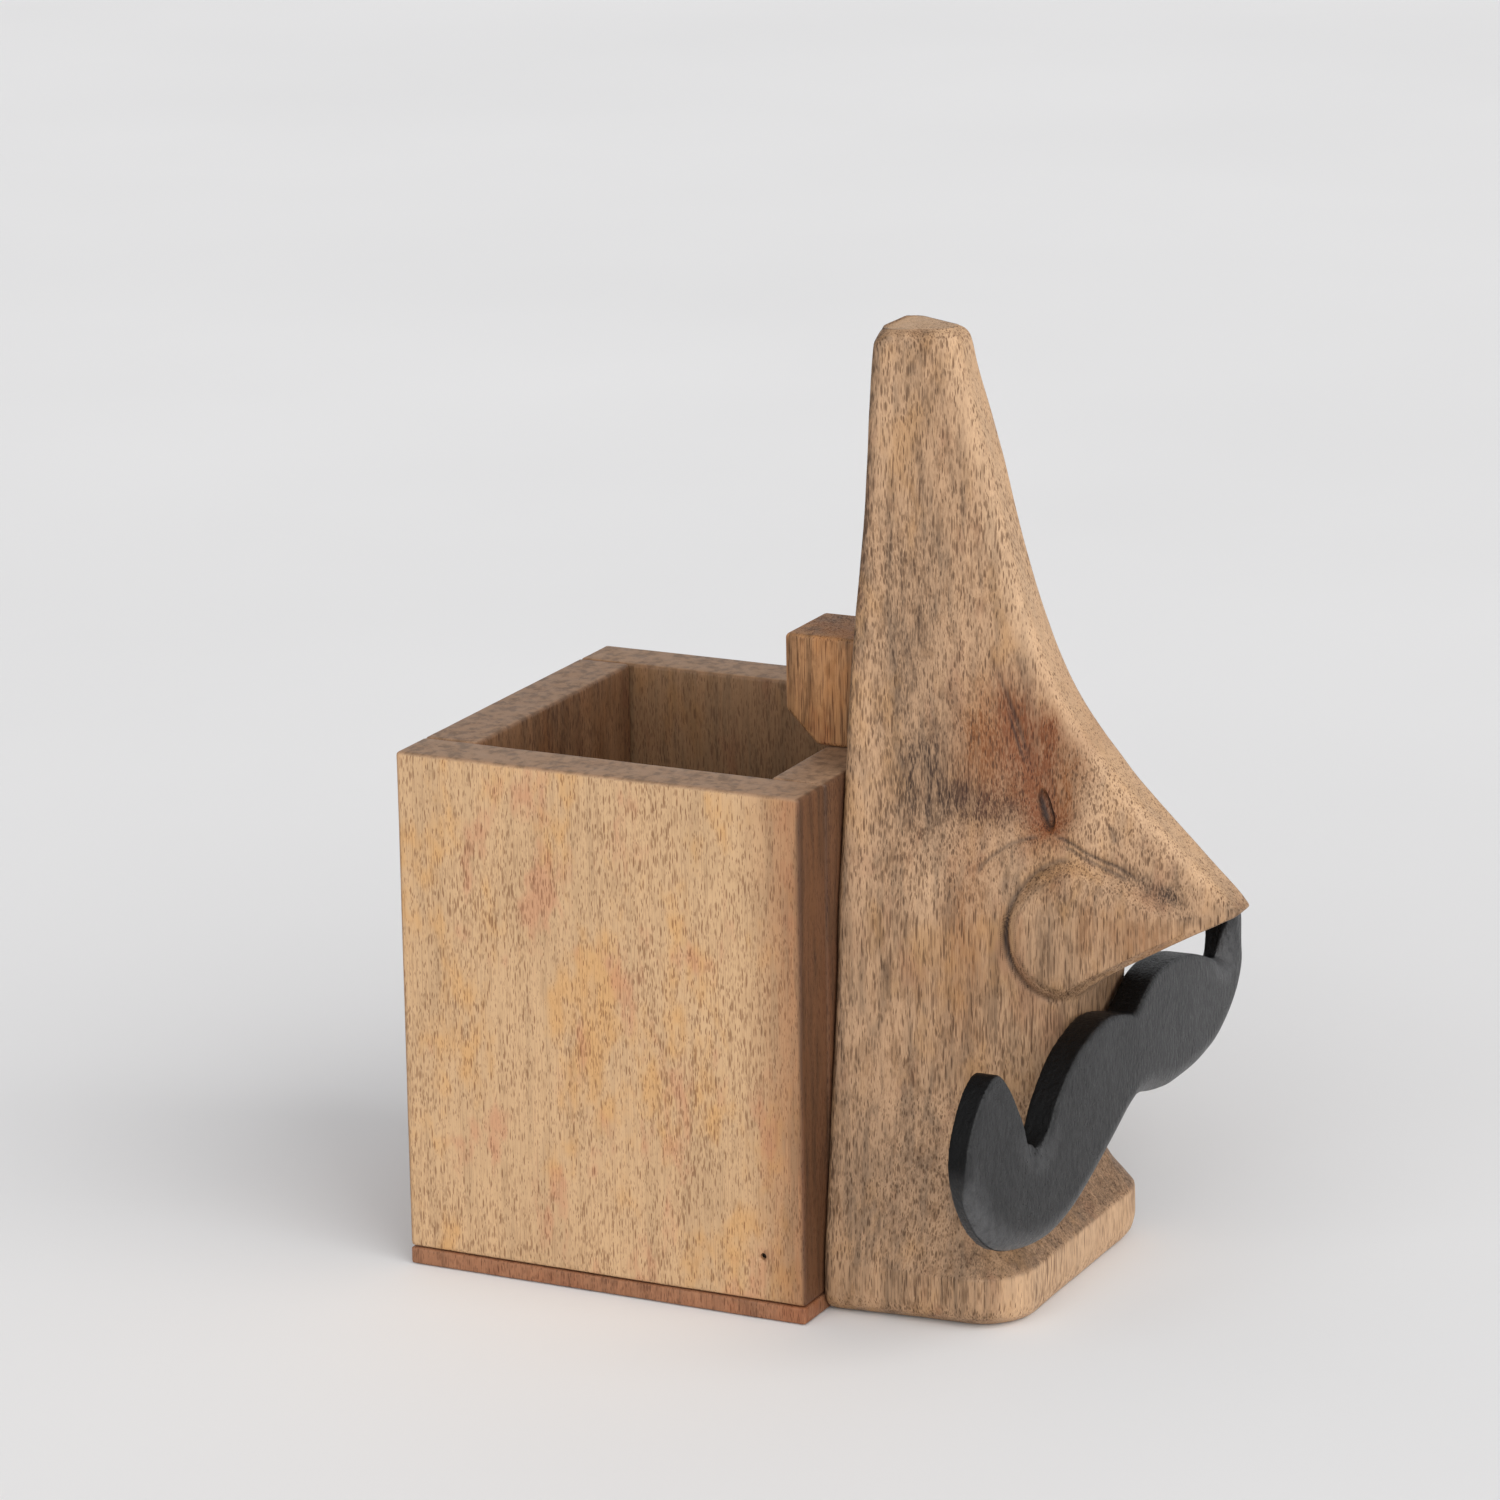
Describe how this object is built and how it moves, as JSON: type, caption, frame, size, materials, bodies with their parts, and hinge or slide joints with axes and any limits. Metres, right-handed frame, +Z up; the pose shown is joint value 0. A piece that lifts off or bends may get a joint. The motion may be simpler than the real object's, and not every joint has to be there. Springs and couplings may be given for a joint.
{
  "type": "eyeglasses display stand",
  "caption": "Carved wooden nose with a black moustache that holds a pair of glasses, fixed to a square open-topped wooden pen well.",
  "frame": {"origin": "on the table surface, under the middle of the bounding box", "axes": "+Z up; the nose points along -Y and the pen well is on the +Y side; X runs side to side across the nose"},
  "size_m": [0.1078, 0.1282, 0.152],
  "materials": {
    "wood_pale": "fine-grained pale brown hardwood, oiled, with dark pores",
    "wood_nose": "carved brown hardwood with dark figure, oiled",
    "wood_base": "reddish brown hardwood plate",
    "wood_dowel": "plain dowel wood",
    "black_paint": "satin black paint over open-pored wood",
    "steel": "plain steel fastener"
  },
  "bodies": {
    "root": {"nose_block": "wood_nose", "moustache": "black_paint", "side_panel_left": "wood_pale", "side_panel_right": "wood_pale", "nose_side_panel": "wood_pale", "rear_panel": "wood_pale", "bottom_plate": "wood_base", "brace_block": "wood_nose", "nose_screw_lower": "steel", "nose_screw_upper": "steel", "brace_screw": "steel", "moustache_dowel_left": "wood_dowel", "corner_pin_left_nose_lower": "steel", "corner_pin_left_nose_upper": "steel", "base_pin_left_nose": "steel", "corner_pin_left_rear_lower": "steel", "corner_pin_left_rear_upper": "steel", "base_pin_left_rear": "steel", "moustache_dowel_right": "wood_dowel", "corner_pin_right_nose_lower": "steel", "corner_pin_right_nose_upper": "steel", "base_pin_right_nose": "steel", "corner_pin_right_rear_lower": "steel", "corner_pin_right_rear_upper": "steel", "base_pin_right_rear": "steel"}
  },
  "joints": []
}
